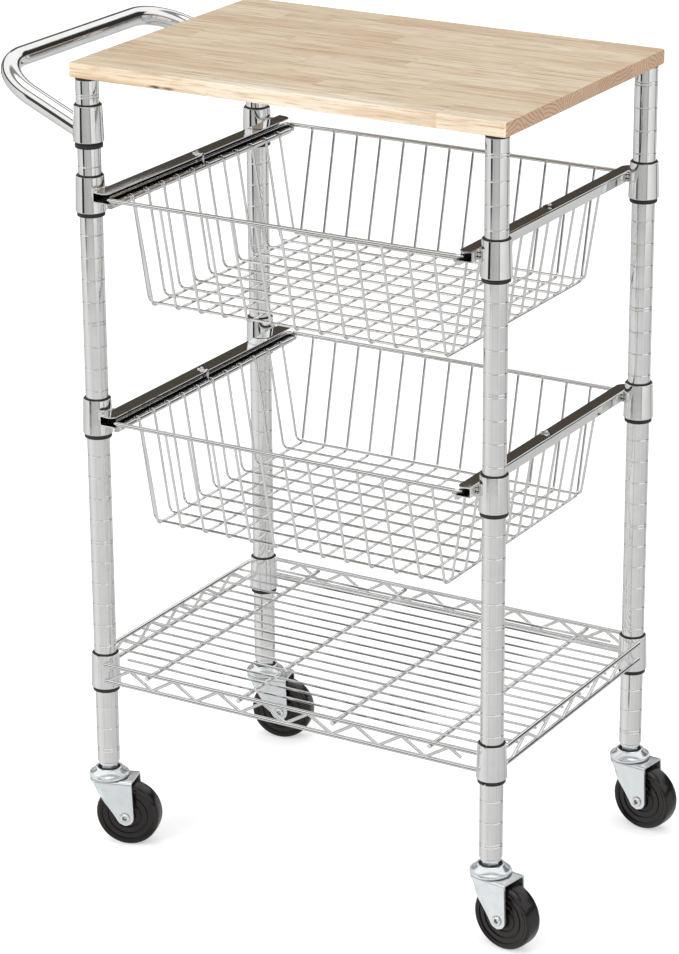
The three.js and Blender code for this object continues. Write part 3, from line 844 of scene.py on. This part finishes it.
def long_upright(x, rim):
    """One wire from the front rim down, along the floor and up to the back rim."""
    floor = rim - BASKET_DEPTH
    top = RIM_Y - RIM_WIRE - MESH_WIRE + 0.3
    x += rng.uniform(-0.5, 0.5)
    lean = rng.uniform(-0.7, 0.7)
    return bent([
        (x + lean, -top, rim + 1.2), (x + lean, -top + 0.6, rim - 3),
        (x, -BASKET_FLOOR_Y, floor), (x, BASKET_FLOOR_Y, floor),
        (x - lean, top - 0.6, rim - 3), (x - lean, top, rim + 1.2),
    ], 7, 5)


def cross_upright(y, rim):
    """One wire from the left side down, along the floor and up to the right side, hooked over both."""
    floor = rim - BASKET_DEPTH + BASKET_CROSS_LIFT
    y += rng.uniform(-0.5, 0.5)
    side_z = rim - SIDE_WIRE_DROP
    hook = RIM_WIRE + MESH_WIRE - 0.2
    right = [(BASKET_FLOOR_X, 0, floor), (SIDE_WIRE_X - hook, 0, side_z - 4)]
    for k in range(6):
        t = math.pi - k * math.radians(29)
        right.append((SIDE_WIRE_X + hook * math.cos(t), 0, side_z + hook * math.sin(t)))
    path = bent([(0, 0, floor), *right[:2]], 8, 6)[:-1] + [Vector(p) for p in right[1:]]
    left = [Vector((-p.x, p.y, p.z)) for p in reversed(path)]
    return [Vector((p.x, y, p.z)) for p in left[:-1] + path]


def build_basket(tier):
    rim = COLLAR_TOPS[tier] - RIM_BELOW
    shell = Shell()
    loop, sides = rim_paths(rim)
    shell.tube(loop, RIM_WIRE, 14, taper=1.0)
    for path in sides:
        shell.tube(path, RIM_WIRE, 12)
    for x in (-SIDE_WIRE_X, SIDE_WIRE_X):
        for y in (-RIM_Y, RIM_Y):
            bead(shell, (x, y * 0.996, rim - 2.6), 1.9, (1.1, 1.1, 0.7))
    columns = spread_out(BASKET_COLUMNS, BASKET_PITCH)
    rows = spread_out(BASKET_ROWS, BASKET_PITCH)
    for x in columns:
        shell.tube(long_upright(x, rim), MESH_WIRE, 10)
        for y in (2.7 - RIM_Y, RIM_Y - 2.7):
            bead(shell, (x, y, rim - 0.3), 1.3, (1.2, 0.9, 1.0))
    for y in rows:
        shell.tube(cross_upright(y, rim), MESH_WIRE, 10)
    for x in columns:
        for y in rows:
            bead(shell, (x, y, rim - BASKET_DEPTH + 1.4), 1.25, (1.15, 1.15, 0.8))
    parts = ("front_wall", "back_wall", "right_wall", "left_wall", "floor")
    solids = [f"basket_{tier}_{part}" for part in parts]
    make(f"wire_basket_{tier}", shell, f"{tier}_basket", WIRE_CHROME, "wire_chrome", *solids)


# ---- wire shelf ----


def truss(shell, half, z, legs, turn, ends_cut):
    """Two rods and one bent wire between them, built along X and then placed by turn."""
    part = Shell()
    part.tube([(-half, 0, z), (0, 0, z), (half, 0, z)], TRUSS_ROD, 14)
    part.tube([(-half, 0, z - TRUSS_DEPTH), (half, 0, z - TRUSS_DEPTH)], TRUSS_ROD, 14)
    step = TRUSS_PITCH / 2
    low, high = z - TRUSS_DEPTH + 1.0, z - 1.0
    points = []
    for k in range(legs + 1):
        points.append(Vector(((k - legs / 2) * step, 0, low if k % 2 == 0 else high)))
    if ends_cut[0]:
        points[0] = points[0].lerp(points[1], 0.5)
    if ends_cut[1]:
        points[-1] = points[-1].lerp(points[-2], 0.5)
    part.tube(bent(points, 3.0, 4), TRUSS_WIRE, 12)
    for point in points[1:-1]:
        edge = z if point.z > z - TRUSS_DEPTH / 2 else z - TRUSS_DEPTH
        bead(part, (point.x, 0, point.z * 0.5 + edge * 0.5), 2.1, (1.5, 0.9, 0.7))
    shell.merge(part, turn)


def build_shelf():
    # half length, height of upper rod, zigzag legs
    long_sizes = (240.0, 226.8, 16)
    short_sizes = (161.0, 229.5, 10)
    x, y = POST_X + SHORT_TRUSS_OUT, POST_Y + LONG_TRUSS_OUT
    across = Matrix.Rotation(math.pi / 2, 4, "Z")
    # then the place, and which zigzag ends stop half way
    trusses = {
        "front": (*long_sizes, Matrix.Translation((0, -y, 0)), (False, True)),
        "back": (*long_sizes, Matrix.Translation((0, y, 0)), (True, False)),
        "right": (*short_sizes, Matrix.Translation((x, 0, 0)) @ across, (False, False)),
        "left": (*short_sizes, Matrix.Translation((-x, 0, 0)) @ across, (False, False)),
    }
    for side, sizes in trusses.items():
        shell = Shell()
        truss(shell, *sizes)
        for corner in CORNERS:
            if corner.startswith(side):
                collar(shell, POSTS[corner], SHELF_COLLAR_TOP)
        make(f"shelf_edge_{side}", shell, "frame", WIRE_CHROME, "wire_chrome", f"shelf_{side}_truss")
    make("shelf_wires", deck_shell(), "frame", WIRE_CHROME, "wire_chrome", "shelf_deck")


def deck_shell():
    """Thin wires along X on four cross rods. The outermost wires are shorter, to clear the posts."""
    shell = Shell()
    lines = spread_out(DECK_LINES, DECK_LINE_PITCH)
    for y in lines:
        half = DECK_OUTER_LINE_HALF if y in (lines[0], lines[-1]) else DECK_LINE_HALF
        bow = rng.uniform(-0.7, 0.7)
        inner = [(x, y + bow, DECK_LINE_Z) for x in (-half / 2, 0, half / 2)]
        end_z = DECK_LINE_Z + 0.4
        shell.tube([(-half, y, end_z), *inner, (half, y, end_z)], MESH_WIRE, 10)
    for x in spread_out(DECK_RODS, DECK_ROD_PITCH):
        end_z = DECK_ROD_Z + 0.3
        rod = [(x, -DECK_ROD_HALF, end_z), (x, 0, DECK_ROD_Z), (x, DECK_ROD_HALF, end_z)]
        shell.tube(rod, TRUSS_ROD, 14)
        for y in lines:
            bead(shell, (x, y, DECK_LINE_Z - 1), 1.4, (1.2, 1.2, 0.7))
    return shell


# ---- casters ----


def race_shell():
    """The kingpin and the domed swivel race with its crimped rim, then the nut, then the stem."""
    shell = Shell()
    shell.lathe([
        (0.3, 76.6), (7.4, 76.6), (8, 77.2), (8, 78.8), (4.6, 79.2), (4.6, 82.4), (21.6, 82.4),
        (22.7, 82.8), (23, 83.6), (23, 85.0), (22.6, 85.9), (21.8, 86.3), (20.9, 86.2), (20.2, 86.6),
        (18.0, 88.9), (16.4, 91.1), (15.5, 92.5), (14.7, 93.2), (13.8, 93.3), (13.0, 92.8), (12.6, 91.4),
        (12.3, 88.6), (11.9, 86.8), (8.6, 86.8), (8.6, 96.0), (0.3, 96.0),
    ], sides=56)
    shell.lathe([(9.6, 86.9), (10.0, 87.4), (10.0, 95.6), (9.6, 96.2)], sides=6)
    shell.lathe([
        (0.3, 96.8), (10.4, 96.8), (11.1, 97.3), (11.3, 98.2), (11.3, 100.2), (10.9, 100.7),
        (10.5, 101.2), (10.5, 130), (0.3, 130.5),
    ], sides=40)
    return shell


def fork_half_width(x):
    """Half the fork's width on top: straight at the front, and round behind."""
    if x > FORK_STRAIGHT_FROM:
        return FORK_HALF_WIDTH
    here = math.sqrt(max(FORK_ROUND ** 2 - x ** 2, 0.0))
    return here * FORK_HALF_WIDTH / math.sqrt(FORK_ROUND ** 2 - FORK_STRAIGHT_FROM ** 2)


def cheek_edges(z):
    """Where the cheek starts and stops along X at a height."""
    boss = math.sqrt(max(FORK_BOSS ** 2 - (z - WHEEL_RADIUS) ** 2, 0))
    back, front = AXLE_X - boss, AXLE_X + boss
    if z > WHEEL_RADIUS:
        t = (CHEEK_TOP - z) / (CHEEK_TOP - WHEEL_RADIUS)
        front = FORK_FRONT + (AXLE_X + FORK_BOSS - FORK_FRONT) * min(t, 1)
    tangent_x, tangent_z = AXLE_X - 8.7, WHEEL_RADIUS - 4.9
    if z > tangent_z:
        t = (CHEEK_TOP - z) / (CHEEK_TOP - tangent_z)
        bulge = math.sin(math.pi * t)
        back = FORK_BACK + (tangent_x - FORK_BACK) * (t + 0.06 * bulge - 0.10 * bulge * (1 - t))
    return back, front


def fork_sheet():
    """Points over one half of the fork's plate: the rounded top, the fold, and a tapering cheek."""
    columns, top_rows, fold_rows, cheek_rows = 26, 6, 5, 22
    straight = FORK_HALF_WIDTH - FORK_SHEET / 2
    fold_z = FORK_TOP - FORK_FOLD
    foot = WHEEL_RADIUS - FORK_BOSS + 0.05
    shares = [c / columns for c in range(columns + 1)]
    top = []
    for u in shares:
        x = FORK_BACK + (FORK_FRONT - FORK_BACK) * u
        top.append((x, fork_half_width(x) - FORK_SHEET / 2))
    grid = []
    for k in range(top_rows + 1):
        grid.append([Vector((x, (wide - FORK_FOLD) * (k / top_rows), FORK_TOP)) for x, wide in top])
    for k in range(1, fold_rows + 1):
        a = k / fold_rows * math.pi / 2
        out, z = FORK_FOLD * math.sin(a) - FORK_FOLD, fold_z + FORK_FOLD * math.cos(a)
        grid.append([Vector((x, wide + out, z)) for x, wide in top])
    for k in range(1, cheek_rows + 1):
        t = k / cheek_rows
        z = fold_z + (foot - fold_z) * t
        back, front = cheek_edges(z)
        ease = max(0.0, 1 - t / 0.45)
        ease = ease * ease * (3 - 2 * ease)
        line = []
        for u, (_, wide) in zip(shares, top):
            line.append(Vector((back + (front - back) * u, straight + (wide - straight) * ease, z)))
        grid.append(line)
    return grid


def thick_sheet(grid, thickness):
    """Gives a grid of points a thickness, with closed edges."""
    rows, columns = len(grid), len(grid[0])

    def normal(i, j):
        along = grid[min(i + 1, rows - 1)][j] - grid[max(i - 1, 0)][j]
        across = grid[i][min(j + 1, columns - 1)] - grid[i][max(j - 1, 0)]
        found = along.cross(across)
        return found.normalized() if found.length > 1e-9 else Vector((0, 0, 1))

    half = thickness / 2
    outer = [[grid[i][j] + normal(i, j) * half for j in range(columns)] for i in range(rows)]
    inner = [[grid[i][j] - normal(i, j) * half for j in range(columns)] for i in range(rows)]
    return Shell().rings([outer[i] + inner[i][::-1] for i in range(rows)])


def rivet_shell():
    """The rivet that the wheel turns on, hollow at its ends."""
    out = RIVET_OUT
    return axle_piece([
        (0.3, out - 1.5), (2.3, out - 1.5), (2.4, out + 1.2), (2.9, out + 1.9), (4.2, out + 2.1),
        (5.2, out + 1.5), (5.6, out + 0.2), (5.5, out), (4, out),
    ], 28)


def wheel_shell():
    """A moulded wheel with a rounded tread and fine rings on its faces."""
    return axle_piece([
        (4.4, 15.4), (8.6, 15.4), (9.6, 14.9), (10.2, 13.6), (10.8, 10.6), (12.6, 9.4), (15.0, 9.4),
        (15.6, 10.8), (16.6, 10.9), (17.2, 9.8), (22.4, 9.8), (23.0, 11.1), (24.2, 11.2), (24.8, 10.0),
        (29.4, 10.1), (29.9, 11.5), (31.2, 11.7), (31.8, 10.9), (33.4, 11.2), (34.4, 11.4), (35.6, 10.8),
        (36.5, 9.6), (37.15, 7.8), (37.42, 4.6), (WHEEL_RADIUS, 1.2),
    ], 80, closed=True)


def build_casters():
    race, rivet, wheel = race_shell(), rivet_shell(), wheel_shell()
    half = thick_sheet(fork_sheet(), FORK_SHEET)
    fork = Shell().merge(half).merge(mirrored(half, (1, -1, 1)))
    for corner in CORNERS:
        at = POSTS[corner]
        axle = (middle(f"caster_wheel_{corner}") - ORIGIN) / MM
        yaw = math.atan2(axle.y - at.y, axle.x - at.x)
        turn = Matrix.Rotation(yaw, 4, "Z")
        stand = Matrix.Translation((at.x, at.y, 0)) @ turn
        spindle = Matrix.Translation(axle) @ turn
        parts = (
            ("swivel_race", race, stand, "frame", ZINC, "zinc_steel", "caster_race"),
            ("swivel_fork", fork, stand, f"swivel_{corner}", ZINC, "zinc_steel", "caster_fork"),
            ("axle_rivet", rivet, spindle, f"swivel_{corner}", ZINC, "zinc_steel", "caster_axle"),
            ("moulded_wheel", wheel, spindle, f"wheel_{corner}", RUBBER, "wheel_rubber", "caster_wheel"),
        )
        for name, shape, where, body, material, slot, node in parts:
            moved = Shell().merge(shape, where)
            make(f"{name}_{corner}", moved, body, material, slot, f"{node}_{corner}")


# ---- butcher-block top ----


def build_board():
    """The glued board with eased edges. Its cut ends take the end-grain finish."""
    low, high = box_mm("butcher_block_top")
    ease, radius, steps = BOARD_EASE, BOARD_CORNER, 4
    quarter = [math.pi / 2 * k / steps for k in range(steps + 1)]
    sections = [(ease * (1 - math.sin(a)), low.z + ease * (1 - math.cos(a))) for a in quarter]
    sections += [(ease * (1 - math.cos(a)), high.z - ease * (1 - math.sin(a))) for a in quarter]
    rings = []
    for inset, z in sections:
        x0, x1 = low.x + inset + radius, high.x - inset - radius
        y0, y1 = low.y + inset + radius, high.y - inset - radius
        ring = []
        for start, (x, y) in enumerate(((x1, y1), (x0, y1), (x0, y0), (x1, y0))):
            for j in range(steps + 1):
                t = (start + j / steps) * math.pi / 2
                ring.append(Vector((x + radius * math.cos(t), y + radius * math.sin(t), z)))
        rings.append(ring)
    shell = Shell().rings(rings)
    board = make("board", shell, "frame", (WOOD_FACE, WOOD_END), "board_wood", "butcher_block_top", crease=50)
    for polygon in board.data.polygons:
        if abs(polygon.normal.x) > 0.6:
            polygon.material_index = 1


# ---- floor, light and camera ----


def build_floor():
    """A pale disc far wider than the picture. Reflections don't show it."""
    radii = (0.001, 2000, 8000, 30000, 60000)
    shell = Shell().rings([circle(radius, 0, 64) for radius in radii], ends=False)
    mesh = bpy.data.meshes.new("floor")
    mesh.from_pydata([tuple(p * MM) for p in shell.points], [], shell.faces)
    n = new_material("floor_paint")
    cloud = n.noise(n.position(), 1.5, 2, 0.5)
    paint = n.ramp(cloud, (0.3, grey(0.80)), (0.7, grey(0.82)))
    glow = {"Emission_Color": (*WHITE, 1), "Emission_Strength": 0.42}
    mesh.materials.append(n.finish(paint, Roughness=0.9, **glow))
    floor = bpy.data.objects.new("floor", mesh)
    bpy.context.scene.collection.objects.link(floor)
    floor.visible_glossy = False


def by_angle(n, factor, span, stops):
    """Greys at angles in degrees. factor goes from 0 to 1 over a span that has zero in its middle."""
    return n.ramp(factor, *((angle / span + 0.5, grey(value)) for angle, value in stops))


def window(n, factor, span, edges):
    """One between the two inner edges, fading to nothing at the two outer ones."""
    return by_angle(n, factor, span, zip(edges, (0, 1, 1, 0)))


def build_world():
    """Plain white for the camera. All else sees a pale studio with dark gaps, for metal to reflect."""
    world = bpy.data.worlds.new("studio")
    bpy.context.scene.world = world
    n = Nodes(world)
    n.tree.nodes.clear()
    out = n.new("ShaderNodeOutputWorld")
    x, y, z = n.split(n.new("ShaderNodeTexCoord").outputs["Generated"])
    turn = n.math("ADD", n.math("DIVIDE", n.math("ARCTAN2", y, x), 2 * math.pi), 0.5)
    tilt = n.math("ADD", n.math("DIVIDE", n.math("ARCSINE", z), math.pi), 0.5)
    low = by_angle(n, tilt, 180, STUDIO_LOW_SHARE)
    around = n.blend(low, by_angle(n, turn, 360, STUDIO_AROUND), by_angle(n, turn, 360, STUDIO_LOW))
    upward = by_angle(n, tilt, 180, STUDIO_UPWARD)
    for turn_edges, tilt_edges, colour in STUDIO_FLAGS:
        flag = n.math("MULTIPLY", window(n, turn, 360, turn_edges), window(n, tilt, 180, tilt_edges))
        upward = n.blend(flag, upward, colour)
    room = n.new("ShaderNodeBackground")
    n.link(n.blend(window(n, tilt, 180, STUDIO_LEVEL), upward, around), room.inputs["Color"])
    seen = n.new("ShaderNodeBackground")
    n.put(seen, Color=(*WHITE, 1))
    path = n.new("ShaderNodeLightPath")
    mix = n.new("ShaderNodeMixShader")
    n.link(path.outputs["Is Camera Ray"], mix.inputs[0])
    n.link(room.outputs[0], mix.inputs[1])
    n.link(seen.outputs[0], mix.inputs[2])
    n.link(mix.outputs[0], out.inputs["Surface"])


# Greys against angles in degrees. Near the horizon they go by compass angle, and STUDIO_LOW takes over
# lower down. Above and below STUDIO_LEVEL they go by height, apart from the dark flags.
STUDIO_AROUND = (
    (-180, 0.62), (-132, 0.78), (-125, 0.74), (-123, 0.02), (-108, 0.02), (-105, 0.42), (-60, 0.50),
    (-43, 0.46), (-41, 0.28), (-38, 0.30), (-35, 0.84), (-10, 0.80), (14, 0.70), (45, 0.56),
    (48, 0.12), (54, 0.12), (58, 0.62), (92, 0.66), (95, 0.05), (101, 0.05), (105, 0.62), (140, 0.66),
    (144, 0.10), (151, 0.10), (155, 0.60), (180, 0.62),
)
STUDIO_LOW = (
    (-180, 0.62), (-150, 0.78), (-112, 0.76), (-98, 0.70), (-95, 0.50), (-91, 0.68), (-60, 0.66),
    (-20, 0.62), (-12, 0.54), (-4, 0.60), (40, 0.55), (52, 0.40), (64, 0.60), (92, 0.62), (98, 0.38),
    (104, 0.62), (140, 0.66), (148, 0.40), (156, 0.62), (180, 0.62),
)
STUDIO_LOW_SHARE = ((-17.6, 0.94), (-15.5, 0))
STUDIO_UPWARD = (
    (-90, 0.55), (-66, 0.52), (-62, 0.36), (-54, 0.36), (-50, 0.62), (3, 0.62), (6, 0.04), (15, 0.04),
    (18, 0.95), (48, 1.0), (53, 0.25), (62, 0.25), (67, 1.6), (90, 2.4),
)
STUDIO_LEVEL = (-52, -44, 2, 7)
# compass edges, height edges and colour of each
STUDIO_FLAGS = (
    ((42, 46, 76, 80), (-8, -4, 30, 34), grey(0.03)),
    ((104, 108, 132, 136), (2, 5, 25, 28), grey(0.06, 0.18)),
)


def area_light(name, place_at, size, watts):
    data = bpy.data.lights.new(name, "AREA")
    data.shape = "RECTANGLE"
    data.size, data.size_y = size
    data.energy = watts
    light = bpy.data.objects.new(name, data)
    light.location = place_at
    light.visible_glossy = False
    aim = Vector((0, 0, 0.5)) - Vector(place_at)
    light.rotation_euler = aim.to_track_quat("-Z", "Y").to_euler()
    bpy.context.scene.collection.objects.link(light)


def build_camera():
    """The camera solved from the photo, aimed by its tilt down, its turn and its roll."""
    data = bpy.data.cameras.new("camera")
    data.sensor_width = 36
    data.lens = CAMERA_LENS
    data.shift_x, data.shift_y = CAMERA_SHIFT
    data.clip_start, data.clip_end = 0.05, 200
    camera = bpy.data.objects.new("camera", data)
    bpy.context.scene.collection.objects.link(camera)
    pitch, turn, roll = (math.radians(angle) for angle in CAMERA_ANGLES)
    flat = math.cos(pitch)
    forward = Vector((-math.sin(turn) * flat, math.cos(turn) * flat, -math.sin(pitch)))
    level = Vector((math.cos(turn), math.sin(turn), 0))
    right = math.cos(roll) * level + math.sin(roll) * level.cross(forward)
    up = right.cross(forward)
    turned = Matrix((right, up, -forward)).transposed()
    camera.matrix_world = Matrix.Translation(CAMERA_AT + ORIGIN) @ turned.to_4x4()
    bpy.context.scene.camera = camera


CAMERA_LENS = 130.6320755
CAMERA_SHIFT = (-0.00025157233, -0.0016771488)
CAMERA_ANGLES = (20.2456, 30.6953, -0.3987)
CAMERA_AT = Vector((1.82746, -3.14406, 1.78010))


def build_studio():
    build_floor()
    build_world()
    area_light("overhead", (0.2, -0.3, 3.4), (3.0, 3.0), 6)
    area_light("front", (-1.1, -3.2, 1.7), (2.4, 1.8), 68)
    area_light("side", (2.9, 0.4, 1.6), (1.6, 1.6), 8)
    bpy.context.scene.view_settings.view_transform = "Standard"
    build_camera()


build_posts()
build_sleeves()
build_handle()
build_rails()
for tier in TIERS:
    build_basket(tier)
build_shelf()
build_casters()
build_board()
build_studio()
